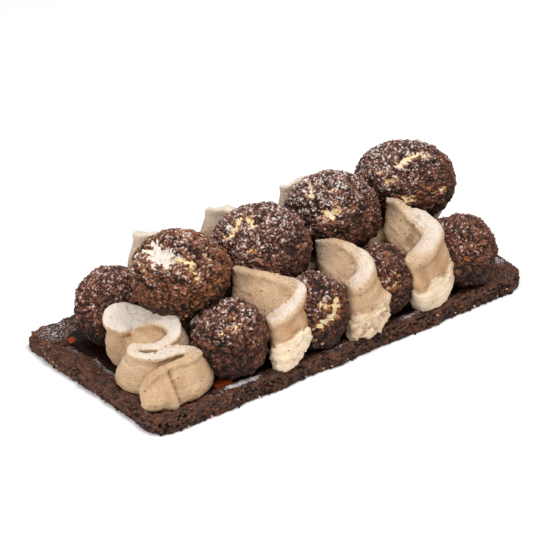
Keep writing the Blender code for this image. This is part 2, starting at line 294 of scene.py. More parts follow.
# Nut pieces: a point near them on the edge, height and size
NUTS = (
    (-116, 34.1, 4.9, 1.6),
    (-116, 31.5, 3.6, 1.1),
    (-116, 29.6, 2.4, 2.0),
    (-116, 27.8, 3.2, 1.5),
    (-116, 23.7, 1.2, 1.8),
    (-116, -5.5, 1.2, 1.2),
    (-116, -12.5, 0.9, 0.9),
    (-116, -24.0, 0.9, 1.0),
    (-99, -54, 1.0, 1.0),
    (-85.8, -54, 1.2, 1.2),
    (-71.4, -54, 4.6, 1.4),
    (-58.7, -54, 0.9, 1.2),
    (-30.3, -54, 1.0, 1.2),
    (-20.7, -54, 2.0, 1.2),
    (-15.2, -54, 1.6, 1.0),
    (-6.6, -54, 2.2, 1.6),
    (51, -54, 5.6, 1.7),
    (54, -54, 4.2, 0.9),
    (63.6, -54, 2.4, 1.0),
    (76.3, -54, 1.6, 1.3),
    (91.8, -54, 2.0, 1.5),
    (97.5, -54, 4.0, 1.0),
    (116, 10, 2.4, 1.4),
    (116, 30, 1.2, 1.7),
    (70, 54, 2.2, 1.3),
    (25, 54, 1.2, 1.6),
    (-20, 54, 3.4, 1.2),
    (-62, 54, 1.5, 1.5),
)
CRUMBS = 240
CRUMB_SIZES = (0.5, 1.7)


def add_bit(body, middle, size, shape):
    """One chip of that size: a small ball, squeezed and dented in its own way."""
    squeeze = Vector((1.0, 0.7 + 0.2 * np.sin(shape), 0.65))
    points_to = Vector((np.cos(shape), np.sin(shape), 0.2))
    turn = Vector((1, 0, 0)).rotation_difference(points_to)
    for vert in bmesh.ops.create_icosphere(body, subdivisions=2, radius=1.0)["verts"]:
        lump = 1 + 0.45 * noise.noise(vert.co * 1.3 + Vector((shape, 0, 0)))
        vert.co = turn @ (vert.co * squeeze * (lump * size / 2)) + middle


def make_bits(name, bits, material):
    """All the chips as one piece, from their middles and sizes in mm."""
    body = bmesh.new()
    for number, (middle, size) in enumerate(bits):
        add_bit(body, Vector(middle), size, 2.4 * number)
    bmesh.ops.scale(body, vec=(MM, MM, MM), verts=body.verts)
    mesh = bpy.data.meshes.new(name)
    body.to_mesh(mesh)
    body.free()
    put_on(name, mesh, material)


# Toasted nut: pale cream with a browner skin in places, slightly waxy.
nut = new_material("chopped_toasted_nut", {"IOR": 1.47})
place = add(nut, "TexCoord", {}, out="Object")
skin = add(nut, "TexNoise", {"Vector": place, "Scale": 1 / (1.5 * MM), "Detail": 2.0})
skin_mask = add(nut, "MapRange", {"Value": skin, "From Min": 0.45, "From Max": 0.65})
flesh = add(nut, "Mix", {0: skin_mask, 6: linear("#DDBB93"), 7: linear("#A4764C")}, **COLOURS)
rough = add(nut, "MapRange", {"Value": skin, "To Min": 0.45, "To Max": 0.75})
wire(nut, {"Base Color": flesh, "Roughness": rough})
bits = []
for x, y, z, size in NUTS:
    nearest = np.argmin(np.hypot(edge[:, 0] - x, edge[:, 1] - y))
    bits.append(((*(edge[nearest] - edge_normals[nearest] * 0.3 * size), z), size))
make_bits("nut_pieces", bits, nut)

draw = np.random.default_rng(5)
bits = []
for spot in draw.integers(0, BASE_POINTS, CRUMBS):
    size = draw.uniform(*CRUMB_SIZES)
    middle = edge[spot] - edge_normals[spot] * draw.uniform(0.2, 1.0)
    bits.append(((*middle, size * 0.3 + 0.1 + draw.uniform(0, 1.0)), size))
make_bits("loose_crumbs", bits, shortbread)


# ---------------------------------------------------------------- caramel
# Soft caramel, spread warm inside the rim before the puffs and the cream went on. It is a thin layer,
# rounded down at its edge, and it holds what stands in it.

CARAMEL_LENGTH = 201.0
CARAMEL_WIDTH = 85.0
CARAMEL_TOP = 6.0
CARAMEL_POINTS = 360
# Where it lies thin enough to glow orange: x, y, how far that reaches
CARAMEL_THIN = ((-69, -41, 6), (-100, 36, 3.2), (96, 39, 6), (60, 41, 5), (12, -42, 4))
# inset from its edge, height, how much of its unevenness shows there
CARAMEL_PROFILE = (
    (-0.6, 4.6, 0.0),
    (-0.3, 5.1, 0.3),
    (0.3, 5.5, 0.6),
    (1.1, 5.8, 0.9),
    (2.2, CARAMEL_TOP, 1.0),
    (3.6, CARAMEL_TOP - 0.1, 1.0),
    (5.5, CARAMEL_TOP - 0.2, 1.0),
    (8.0, CARAMEL_TOP - 0.2, 1.0),
    (12.0, CARAMEL_TOP - 0.2, 0.5),
)

# Set caramel: deep amber with only a low gloss, orange where it is thin. Elsewhere it is nearly
# black, partly its own colour and partly painted shade for the recess it lies in.
caramel = new_material(
    "soft_caramel",
    {
        "IOR": 1.48,
        "Specular IOR Level": 0.1,
        "Coat Weight": 0.05,
        "Coat Roughness": 0.1,
        "Subsurface Weight": 0.25,
        "Subsurface Radius": (3.0, 1.2, 0.4),
        "Subsurface Scale": MM,
    },
)
place = add(caramel, "TexCoord", {}, out="Object")
thin = add(caramel, "Attribute", {}, out="Fac", attribute_name="thin")
cloudy = add(caramel, "TexNoise", {"Vector": place, "Scale": 1 / (4 * MM), "Detail": 2.0})
thin = add(caramel, "Math", {0: cloudy, 1: 0.6, 2: thin}, operation="MULTIPLY_ADD")
thin = add(caramel, "MapRange", {"Value": thin, "From Min": 0.45, "From Max": 0.95})
# painted shade: away from the thin spots the caramel is painted near black, for the shade in the
# recess
amber = add(caramel, "Mix", {0: thin, 6: linear("#1C0A05"), 7: linear("#A0431A")}, **COLOURS)
ripple = add(caramel, "TexNoise", {"Vector": place, "Scale": 1 / (3 * MM), "Detail": 1.0})
bump = add(
    caramel, "Bump", {"Height": ripple, "Strength": 0.4, "Distance": 0.6 * MM}, out="Normal"
)
rough = add(caramel, "MapRange", {"Value": ripple, "To Min": 0.2, "To Max": 0.55})
wire(caramel, {"Base Color": amber, "Roughness": rough, "Normal": bump})
edge, edge_normals = outline(CARAMEL_LENGTH, CARAMEL_WIDTH, CARAMEL_POINTS)
rings = []
for inset, height, uneven in CARAMEL_PROFILE:
    ring = np.column_stack([edge - edge_normals * inset, np.full(CARAMEL_POINTS, height)])
    ring[:, 2] += 0.25 * uneven * clouds(ring, 8.0, 2)
    rings.append(ring)
points = np.concatenate(rings)
thin = np.zeros(len(points))
for x, y, reach in CARAMEL_THIN:
    gap = np.hypot(points[:, 0] - x, points[:, 1] - y)
    thin = np.maximum(thin, 1 - step(gap, 0.4 * reach, reach))
faces = loft_faces(len(rings), CARAMEL_POINTS)
make_piece("caramel_layer", points, faces, caramel, ["caramel"], {"thin": thin})


# ---------------------------------------------------------------- choux puffs
# Balls of choux pastry, baked under a disc of cocoa craquelin that split into coarse dark grains and
# tore here and there, then sifted with icing sugar. They are smooth and flat below, from the tray.
# The small ones stand in the caramel, and the large ones are set on the cream between them.

# Centre x, y, z, half width and half height, then how much sugar lies on top and how golden the
# cracks are. Each tear is a line of directions (azimuth, elevation in degrees), half its width, how
# much sugar lies in it and how golden it is.
PUFFS = {
    "puff_front_1": (
        (-58.4, -32.4, 23.5, 18.1, 17.2),
        0.75,
        0.15,
        (((-114, 58), (-117, 39)), 0.7, 0.3, 0.3),
        (((-142, 33), (-136, 38)), 0.8, 0.3, 0.3),
    ),
    "puff_front_2": (
        (-12.5, -36.8, 23.5, 16.9, 17.2),
        0.75,
        0.15,
        (((-111, 34), (-99, 32)), 2.4, 0.5, 0.0),
        (((-76, 30), (-85, 14), (-99, 6), (-119, -2)), 2.2, 0.25, 0.0),
        (((-132, -27), (-111, -31)), 0.7, 0.0, 0.5),
    ),
    "puff_front_3": (
        (32.3, -32.8, 23.1, 16.5, 16.7),
        0.6,
        0.15,
        (((-103, 12), (-95, 13)), 1.2, 0.4, 0.2),
        (((-116, 7), (-111, 4)), 1.1, 0.3, 0.3),
        (((-104, 40), (-96, 30)), 0.6, 0.2, 0.7),
    ),
    "puff_front_4": (
        (83.6, -34.0, 23.2, 18.3, 16.8),
        0.6,
        0.25,
        (((-104, 29), (-92, 27)), 0.8, 0.0, 1.0),
        (((-118, 54), (-120, 47)), 0.5, 0.0, 1.0),
        (((-128, 5), (-121, 11)), 0.6, 0.0, 1.0),
    ),
    "puff_back_1": (
        (-81.8, 25.6, 23.5, 19.1, 17.4),
        0.7,
        0.1,
        (((-152, -16), (-149, -22)), 0.6, 0.0, 0.9),
        (((60, 20), (75, 35)), 1.3, 0.3, 0.2),
    ),
    "puff_back_2": (
        (-34.5, 30.0, 23.3, 18.4, 17.0),
        0.75,
        0.15,
        (((76, 12), (86, 13)), 1.2, 0.4, 0.2),
        (((62, 27), (68, 20)), 1.0, 0.3, 0.4),
    ),
    "puff_back_3": (
        (12.0, 32.5, 23.5, 18.0, 17.0),
        0.75,
        0.15,
        (((104, 30), (95, 14), (81, 6), (61, -2)), 1.7, 0.25, 0.0),
    ),
    "puff_back_4": (
        (58.6, 32.0, 23.4, 18.5, 17.2),
        0.7,
        0.2,
        (((66, 38), (63, 20)), 0.8, 0.2, 0.7),
        (((100, 10), (110, 22)), 1.1, 0.2, 0.2),
    ),
    "puff_large_1": (
        (-64.9, -4.4, 46.5, 23.5, 19.6),
        0.8,
        0.85,
        (((157, 54), (-172, 52), (-155, 49)), 5.6, 1.1, 0.0),
        (((-156, 50), (-137, 52), (-117, 46), (-108, 36), (-106, 22)), 1.7, 0.35, 0.1),
        (((-76, 47), (-74, 42)), 1.2, 0.6, 0.2),
        (((174, 25), (-175, 23)), 0.8, 0.3, 0.6),
        (((-140, -42), (-125, -38), (-110, -35), (-96, -30)), 2.2, 0.0, 0.6),
        (((50, 30), (62, 22), (80, 24)), 1.6, 0.2, 0.1),
    ),
    "puff_large_2": (
        (-20.2, -7.4, 46.5, 24.4, 19.1),
        0.92,
        0.3,
        (((137, 74), (-175, 72), (-148, 64)), 1.8, 0.45, 0.05),
        (((156, 63), (176, 51), (176, 38)), 2.1, 0.4, 0.05),
        (((-146, 26), (-137, 29)), 0.9, 0.2, 0.5),
        (((48, 29), (58, 30)), 2.4, 0.2, 0.0),
    ),
    "puff_large_3": (
        (29.6, -0.8, 46.8, 23.9, 19.3),
        1.0,
        0.3,
        (((119, 56), (155, 61), (-172, 48)), 1.3, 0.6, 0.2),
        (((-140, 29), (-131, 30), (-123, 33)), 2.3, 0.15, 0.0),
        (((-132, 30), (-135, 21)), 1.7, 0.5, 0.0),
        (((-149, 64), (-120, 61)), 0.5, 0.2, 0.8),
        (((30, 40), (36, 24), (52, 12)), 1.4, 0.2, 0.1),
    ),
    "puff_large_4": (
        (80.6, 3.3, 47.8, 25.2, 18.6),
        0.95,
        0.35,
        (((-148, 54), (-126, 67), (-102, 70), (-69, 65)), 2.2, 0.6, 0.0),
        (((-172, 36), (-165, 36)), 1.3, 0.3, 0.3),
        (((-155, 28), (-149, 27)), 1.9, 0.25, 0.1),
        (((-135, 3), (-121, 3)), 1.8, 0.1, 0.0),
        (((-111, 23), (-93, 8)), 0.7, 0.0, 1.0),
        (((-88, 9), (-81, 9)), 1.1, 0.2, 0.3),
        (((-46, 47), (-48, 43)), 1.0, 0.2, 0.5),
        (((40, 8), (58, 14), (66, 30)), 1.5, 0.2, 0.1),
    ),
}
LARGE_CUTS = 74  # each face of the starting cube becomes CUTS + 1 squares a side
SMALL_CUTS = 51
LUMP = 1.2  # slow unevenness of a puff, as the solid has it
CRAG = 1.3  # relief of the split crust, as the solid has it
UNDERSIDE_DEPTH = 1.1  # the lower half is this much deeper than the upper half, then cut flat
SETTLED = {"large": 2.3, "small": 3.3}  # 2 is a round lower half, and more is squarer
ISLAND = 6.0  # the craquelin splits into islands of about this size
SPLIT_DEPTH = 0.55
GRAIN = 2.4  # a grain of the craquelin
CLUMP = 3.8  # grains hold together in clumps, with gaps between them
CLUMP_HEIGHT = 1.7
LEVELLED = 1.4  # the crust cracks along the level, so its pattern is this much wider than high
CRUST_THICKNESS = 0.8
TEAR_DEPTH = 0.6  # how deep a tear has sunk, against half its width
PRESS = 1.2  # how far apart the middles of two crusts stay where puffs press together
PRESS_STEPS = 60  # at most this many small steps draw a point out of its neighbour
PRESS_STEP = 0.985  # each to this share of its distance from its own centre
SIFTED_FROM = (150, 66)  # azimuth and elevation that the icing sugar was sifted from
STAND = 6.3  # where the small puffs stand on the caramel


def cells(points, size):
    """How far each point is inside its cell, in mm, and a random number for the cell."""
    inside, tone = np.empty(len(points)), np.empty(len(points))
    for i, place in enumerate((points / size).tolist()):
        distances, centres = noise.voronoi(place)
        inside[i] = (distances[1] - distances[0]) * size
        tone[i] = centres[0].dot((7.13, 3.71, 5.17)) % 1
    return inside, tone


def cube_ball(cuts):
    """Even directions over a ball, and the faces between them."""
    ball = bmesh.new()
    bmesh.ops.create_cube(ball, size=2.0)
    bmesh.ops.subdivide_edges(ball, edges=ball.edges, cuts=cuts, use_grid_fill=True)
    directions = np.tan(np.array([vert.co for vert in ball.verts]) * np.pi / 4)
    directions /= np.linalg.norm(directions, axis=1)[:, None]
    faces = [[vert.index for vert in face.verts] for face in ball.faces]
    ball.free()
    return directions, faces


def towards(azimuth, elevation):
    """The direction with that azimuth and elevation, in degrees."""
    azimuth, elevation = np.radians(azimuth), np.radians(elevation)
    flat = np.cos(elevation)
    return np.array([flat * np.cos(azimuth), flat * np.sin(azimuth), np.sin(elevation)])


def from_line(directions, line):
    """How far each direction is from a line of directions, on a ball of radius 1."""
    stops = [towards(*stop) for stop in line]
    nearest = np.full(len(directions), 9.0)
    for start, end in zip(stops, stops[1:]):
        span = end - start
        t = np.clip((directions - start) @ span / (span @ span), 0, 1)
        gap = np.linalg.norm(directions - start - t[:, None] * span, axis=1)
        nearest = np.minimum(nearest, gap)
    return nearest


def press_in(points, centre, neighbour, margin):
    """Draws points that lie inside a neighbour back towards their own centre."""
    x, y, z, half_width, half_height = neighbour
    size = np.array([half_width, half_width, half_height]) + margin
    for _ in range(PRESS_STEPS):
        inside = np.linalg.norm((points - (x, y, z)) / size, axis=1) < 1
        if not inside.any():
            break
        points[inside] = centre + (points[inside] - centre) * PRESS_STEP
    return points


# Cocoa craquelin over choux: dark dry grains, golden brown where the crust has just parted, and the
# pale matt yellow of the choux where it is open. The gaps between grains, the splits and the lower
# flanks are painted darker, to near black in the gaps, as painted shade. The grit is drawn coarser
# than the real one, to show.
craquelin = new_material("cocoa_craquelin_on_choux", {"IOR": 1.45, "Specular IOR Level": 0.35})
place = add(craquelin, "TexCoord", {}, out="Object")
stands, torn, golden, fallen = (
    add(craquelin, "Attribute", {}, out="Fac", attribute_name=field)
    for field in ("relief", "torn", "golden", "sugar")
)
tone = add(craquelin, "TexNoise", {"Vector": place, "Scale": 1 / (4 * MM), "Detail": 3.0})
grit = add(craquelin, "TexNoise", {"Vector": place, "Scale": 1 / (0.8 * MM), "Detail": 3.0})
tone = add(craquelin, "MapRange", {"Value": tone, "From Min": 0.35, "From Max": 0.65})
brown = add(craquelin, "Mix", {0: tone, 6: linear("#512916"), 7: linear("#90583F")}, **COLOURS)
gilt = add(craquelin, "Math", {0: golden, 1: grit}, operation="MULTIPLY")
gilt = add(craquelin, "MapRange", {"Value": gilt, "From Min": 0.3, "From Max": 0.62})
brown = add(craquelin, "Mix", {0: gilt, 6: brown, 7: linear("#A0602F")}, **COLOURS)
# painted shade: the colour goes near black where the relief is low, in the gaps between grains
lit = add(craquelin, "Math", {0: grit, 1: 0.8, 2: stands}, operation="MULTIPLY_ADD")
lit = add(craquelin, "MapRange", {"Value": lit, "From Min": 0.35, "From Max": 1.15})
crust = add(craquelin, "Mix", {0: lit, 6: linear("#1A0C08"), 7: brown}, **COLOURS)
flakes = add(craquelin, "TexNoise", {"Vector": place, "Scale": 1 / (1.5 * MM), "Detail": 3.0})
crumbly = add(craquelin, "Math", {0: flakes, 1: -2.2, 2: torn}, operation="MULTIPLY_ADD")
parted = add(craquelin, "MapRange", {"Value": crumbly, "From Min": -0.72, "From Max": -0.5})
opened = add(craquelin, "MapRange", {"Value": crumbly, "From Min": -0.5, "From Max": -0.25})
crust = add(craquelin, "Mix", {0: parted, 6: crust, 7: linear("#9C5F2B")}, **COLOURS)
choux = add(craquelin, "Mix", {0: tone, 6: linear("#D3B67F"), 7: linear("#E6D6AB")}, **COLOURS)
bare = add(craquelin, "Mix", {0: opened, 6: crust, 7: choux}, **COLOURS)
dusted = dust(craquelin, place, bare, fallen, 1.3, linear("#DFD5CF"), veil=0.1)
rough = add(craquelin, "MapRange", {"Value": grit, "To Min": 0.6, "To Max": 0.9})
bump = add(
    craquelin, "Bump", {"Height": grit, "Strength": 0.7, "Distance": 0.4 * MM}, out="Normal"
)
wire(craquelin, {"Base Color": dusted, "Roughness": rough, "Normal": bump})

balls = {"large": cube_ball(LARGE_CUTS), "small": cube_ball(SMALL_CUTS)}
placed = []
for number, (node, (puff, sugar_on_top, warmth, *tears)) in enumerate(PUFFS.items()):
    x, y, z, half_width, half_height = puff
    kind = "large" if "large" in node else "small"
    directions, faces = balls[kind]
    seed = 3.7 * number
    lump = LUMP * clouds(directions * 1.6 + (seed, 0, 0), 1.0, 1)
    crag = CRAG * clouds(directions * half_width / 4.5 + (0, seed, 0), 1.0, 1)
    skin = directions * (half_width, half_width, LEVELLED * half_width) + (10 * seed, 0, 0)

    tear = np.zeros(len(directions))
    tear_sugar = np.zeros(len(directions))
    tear_depth = np.zeros(len(directions))
    tear_gold = np.full(len(directions), warmth)
    jagged = 1.7 * clouds(skin, 2.4, 3) - 0.2
    for line, half, powdered, gold in tears:
        gap = from_line(directions, line) * half_width
        open_here = np.clip(0.5 + (half - gap + jagged * (0.7 + 0.35 * half)) / 1.8, 0, 1)
        tear = np.maximum(tear, open_here * (1 - 0.35 * gold))
        tear_sugar = np.maximum(tear_sugar, powdered * open_here)
        sunk_here = TEAR_DEPTH * half * (1 - step(gap, 0.5 * half, half + 2.0))
        tear_depth = np.maximum(tear_depth, sunk_here)
        tear_gold = np.maximum(tear_gold, 1 - step(gap, half, half + 3.5))

    crusty = 1 - step(tear, 0.35, 0.65)
    bald = 1 - step(directions[:, 2], -0.6, -0.25)
    split_in, _ = cells(skin + 1.2 * clouds(skin, 3.0, 1)[:, None], ISLAND)
    split = (1 - step(split_in, 0.3, 1.3)) * step(clouds(skin, 11.0, 2), -0.1, 0.4) * crusty
    grain_in, grain_tone = cells(skin + 1.1 * clouds(skin, 2.0, 3)[:, None], GRAIN)
    grain = step(grain_in, 0.0, 0.8) * (0.3 + 0.7 * grain_tone)
    clump = step(abs(clouds(skin + 30, CLUMP, 3, 0.7)), 0.0, 0.36)
    stands = (0.5 * clump + 0.5 * grain) * (1 - 0.7 * bald)
    fine = clouds(skin, 1.1, 2)
    rough_skin = (CLUMP_HEIGHT * (stands - 0.7) + 0.15 * fine) * crusty - SPLIT_DEPTH * split
    rough_skin -= CRUST_THICKNESS * (1 - crusty) + tear_depth

    swell = (lump + crag + rough_skin)[:, None]
    lower = directions[:, 2] < 0
    depth = np.where(lower, half_height * UNDERSIDE_DEPTH, half_height)
    reach = np.column_stack([np.full((len(depth), 2), half_width), depth])
    flat = np.hypot(directions[:, 0], directions[:, 1])
    power = SETTLED[kind]
    settled = np.where(lower, (flat**power + abs(directions[:, 2]) ** power) ** (-1 / power), 1)
    offset = directions * settled[:, None] * (reach + swell)
    offset[:, 2] = np.maximum(offset[:, 2], -half_height)
    points = offset + (x, y, z)
    for neighbour in placed:
        points = press_in(points, np.array([x, y, z]), neighbour, PRESS)
    inset = np.minimum(BASE_LENGTH / 2 - abs(points[:, 0]), BASE_WIDTH / 2 - abs(points[:, 1]))
    rise = np.clip((RIM_WIDTH + 3.0 - inset) / 5.0, 0, 1)
    points[:, 2] = np.maximum(points[:, 2], STAND + rise * (RIM_HEIGHT + 0.4 - STAND))
    placed.append(puff)

    # relief sets the painted shade too: low in the gaps and the splits
    relief = 1.1 * stands + 0.25 * fine - 0.14 - 0.4 * split + 0.35 * bald
    # painted shade: the lower flanks of the puff are painted darker
    relief -= 0.3 * (1 - step(directions[:, 2], -0.6, 0.5))
    upwards = directions @ towards(*SIFTED_FROM)
    sifted = sugar_on_top * (0.08 + 0.28 * step(upwards, -0.2, 0.85)) + 0.5 * (relief - 0.6)
    sifted = (sifted * (1 - bald) + 0.1 * clouds(skin, 7.0, 2)) * crusty + 0.6 * tear_sugar
    name = node.replace("puff", "choux")
    fields = {"relief": relief, "torn": tear, "golden": tear_gold, "sugar": sifted}
    make_piece(name, points, faces, craquelin, [node], fields)


# ---------------------------------------------------------------- cream
# Whipped chocolate cream. A loaf of it lies between the two rows of small puffs and carries the
# large ones. Ribbons are piped on edge down both long sides with a flat split nozzle, folding over
# themselves, and they run in tight folds over two corners.

# Each station has a point of the wall's crest, the point of its foot below it, half the thickness
# of the crest and of the foot, how steeply the crest tips to the right of the way it was piped, and
# how much sugar lies on it.
BED = tuple(
    ((x, 0.5, 30.5), (x, 0.5, 6), crest_half, 13.2, 0.0, 0.1)
    for x, crest_half in ((-79, 12.0), (-40, 12.5), (7, 12.5), (50, 12.5), (93, 12.0))
)
CORNER_ZIGZAG = (
    ((-102, -2, 29.5), (-96, -1, 6), 5.5, 5.0, 0.35, 0.85),
    ((-92, 4, 31), (-90, 4, 6), 8.8, 6.5, 0.5, 0.9),
    ((-85, -3, 31), (-80, 1, 6), 5.0, 8.0, 0.3, 0.85),
    ((-83.5, -12, 34), (-75, -9, 6), 4.0, 8.0, 0.2, 0.75),
    ((-82, -18.5, 34), (-73, -17, 6), 4.2, 7.5, 0.3, 0.8),
    ((-85, -24.5, 30.5), (-80, -21, 6), 3.4, 6.5, 0.1, 0.75),
    ((-93, -23, 27), (-93, -17, 6), 2.6, 6.0, 0.0, 0.65),
    ((-99, -16, 25.5), (-100.5, -11, 6), 2.4, 6.5, 0.0, 0.6),
    ((-103, -20, 25.5), (-103.5, -18, 6), 2.4, 6.5, 0.0, 0.6),
    ((-97, -28, 25.2), (-97, -25, 6), 2.5, 6.5, 0.2, 0.7),
    ((-86, -30, 25.5), (-80, -26, 6), 2.8, 6.5, 0.0, 0.65),
    ((-80, -34, 25), (-76, -33.5, 6), 3.4, 6.8, -0.4, 0.45),
    ((-87, -38, 25), (-83.5, -40, 6), 2.6, 7.2, -0.2, 0.15),
    ((-96, -37.7, 25), (-93.5, -40.5, 6), 2.2, 7.5, 0.0, 0.05),
    ((-102.5, -37, 24), (-101, -40, 6), 2.8, 8.5, 0.0, 0.0),
    ((-107, -34.5, 20), (-106, -37, 6), 4.2, 8.0, 0.0, 0.0),
    ((-110.5, -32.5, 15), (-109.5, -34.5, 6), 3.6, 6.0, 0.0, 0.0),
)
# Cream that was pressed up between its first two folds
FOLD_FILLING = (
    ((-81, -9, 29), (-82, -10, 6), 8.5, 9.5, 0.0, 0.3),
    ((-88, -10, 28), (-88, -10, 6), 8.5, 9.5, 0.0, 0.0),
    ((-94, -10, 25), (-94, -10, 6), 7.0, 8.5, 0.0, 0.0),
    ((-98, -9, 21), (-98, -8, 6), 5.5, 6.5, 0.0, 0.0),
)
RIBBON_A = (
    ((-45, -18, 49), (-44, -17, 31), 2.0, 8.5, 0.0, 0.28),
    ((-37, -27, 47.5), (-40, -25, 26), 2.2, 9.5, 0.0, 0.15),
    ((-29, -35, 45), (-33, -33, 21), 2.6, 9.0, 0.2, 0.25),
    ((-23.5, -39, 41), (-27, -39, 15), 3.8, 7.0, 0.5, 0.55),
    ((-29, -42, 36.5), (-28, -46, 14), 4.8, 5.0, 0.25, 0.7),
    ((-36.5, -41.5, 33), (-38, -50, 7.5), 5.0, 5.0, -0.3, 0.62),
    ((-43, -39, 30), (-44, -47.5, 7.5), 3.8, 5.0, -0.3, 0.4),
)
RIBBON_B = (
    ((6, -15, 45.5), (6, -19, 31), 2.0, 8.0, 0.0, 0.35),
    ((14, -22, 45.5), (11, -27, 26), 2.4, 9.5, 0.0, 0.2),
    ((17.5, -30, 44.5), (15, -35, 20), 3.2, 9.0, 0.3, 0.35),
    ((17.5, -36, 41), (20, -40, 15), 4.8, 7.0, 0.5, 0.6),
    ((14.5, -40.5, 37), (20.5, -47.5, 10), 6.0, 5.0, 0.2, 0.62),
    ((9, -41, 34), (10.5, -50, 7.5), 5.5, 5.0, -0.3, 0.5),
    ((5, -39, 31.5), (0, -49.5, 7), 4.0, 5.0, -0.3, 0.25),
)
RIBBON_C = (
    ((58, -8, 49), (57, -12, 32), 2.6, 8.0, 0.0, 0.5),
    ((60, -15, 49.5), (58, -19, 28), 2.6, 9.5, 0.0, 0.25),
    ((61, -21, 46.5), (60.5, -26, 22), 3.2, 9.0, 0.3, 0.4),
    ((63, -28, 45.5), (63, -32, 17), 5.0, 7.0, 0.5, 0.65),
    ((63, -34.5, 41.5), (66, -42, 12), 6.5, 5.0, 0.3, 0.72),
    ((53, -40.5, 37.5), (57, -46.5, 8), 5.4, 5.5, -0.3, 0.55),
    ((38.5, -45.5, 35.5), (45, -47, 8), 3.6, 6.0, -0.3, 0.15),
)
RIBBON_C_BACK = (
    *RIBBON_C[:-2],
    ((53, -40.5, 36.5), (57, -46.5, 8), 5.4, 5.5, -0.3, 0.55),
    ((40, -44.5, 30), (45, -47, 8), 3.6, 6.0, -0.3, 0.15),
)
# Down the back they come again, turned round: node, ribbon, how far it is shifted, how much higher
# its fold stands, and a number that makes its surface its own
BACK_RIBBONS = (
    ("cream_back_1", RIBBON_C_BACK, (4.2, 4), 9.2, 6.0),
    ("cream_back_2", RIBBON_B, (3, 4), 8.8, 7.0),
    ("cream_back_3", RIBBON_A, (7.5, 4), 6.8, 8.0),
)
CORNER_SHIFT = (-3, -2)  # and the zigzag at the far corner is shifted by this
# Lines and spots on a ribbon: start, end, half width, how far it stands out, or below 0 how far it
# sinks in as a tear, which is painted darker there as painted shade
PLEAT = (
    ((-101.8, -39, 24), (-100.8, -48, 7.5), 2.8, 2.0),
    ((-98.8, -39.5, 22), (-97.8, -48, 8.5), 1.5, -1.6),
)
TORN_A = (((-25.5, -44.5, 32), (-23, -44, 24), 2.2, -1.3),)
TORN_B = (
    ((22.5, -48, 22.5), (22.5, -48, 22.5), 4.5, 2.0),
    ((7, -50, 12), (4, -52, 8), 2.6, -2.0),
)
TORN_C = (
    ((70.5, -43, 23.5), (70.5, -43, 23.5), 4.5, 2.2),
    ((61, -27, 43), (56, -27, 31), 2.4, -1.8),
    ((42, -48.5, 23), (47, -49, 15), 6.0, 1.8),
)
# Height of the rounded crest against its half thickness, how flat the crest is (1 is round), how
# far it is dished, how much the walls bulge, how much paler the foot of the last fold is painted, as
# painted light, how ragged, how grey its first end is, with cocoa dust and painted shadow, and how
# much sugar clings to its walls
LOAF = (0.35, 0.6, 0.0, 0.5, 0.0, 0.0, 0.0, 0.0)
ZIGZAG = (0.55, 0.65, 0.16, 2.0, 0.0, 0.2, 0.0, 0.0)
FOLD_A = (0.9, 0.8, 0.0, 1.2, 1.0, 0.5, 0.3, 0.0)
FOLD_B = (0.9, 0.8, 0.0, 1.2, 0.5, 1.0, 0.65, 0.0)
FOLD_C = (0.9, 0.8, 0.0, 1.2, 0.9, 0.15, 0.3, 0.0)
BACK_FOLD = (0.6, 0.5, 0.0, 1.0, 0.6, 0.4, 0.3, 0.5)
STATION_STEPS = 16  # sections from one station to the next
# The wall bulges low down and draws in under its crest: share of its height, share of its width
WALL_SHARES = (0.0, 0.08, 0.3, 0.6, 0.8, 0.91, 1.0)
WALL_SWELL = (0.84, 1.0, 1.1, 1.06, 0.96, 0.85, 1.0)
WALL_CURVE = 0.7  # below 1 a wall thins quickly above its foot
VOXEL = 0.72  # how fine the folds are where they merge
STREAK = 1.1  # distance between the streaks that the nozzle leaves
CREAM_FOOT = 5.9  # how low the cream reaches, just into the caramel
HOLLOW_ROUNDS = 14  # rounds of averaging that find the hollows between folds


def smooth_curve(points, steps):
    """A Catmull-Rom curve through the points."""
    points = np.array([points[0], *points, points[-1]], float)
    curve = []
    for before, start, end, after in zip(points, points[1:], points[2:], points[3:]):
        for t in np.arange(steps) / steps:
            curve.append(
                start
                + (end - before) * t / 2
                + (2 * before - 5 * start + 4 * end - after) * t**2 / 2
                + (3 * start - before - 3 * end + after) * t**3 / 2
            )
    return np.array([*curve, points[-1]])


def turned_round(stations, shift, lift=0.0):
    """A ribbon turned half a turn about the middle of the cake and shifted, its fold lifted."""
    turned = []
    for crest, foot, *rest in stations:
        raised = crest[2] + lift * np.clip((-crest[1] - 12) / 15, 0, 1)
        crest = (shift[0] - crest[0], -shift[1] - crest[1], raised)
        foot = (shift[0] - foot[0], -shift[1] - foot[1], foot[2])
        turned.append((crest, foot, *rest))
    return turned


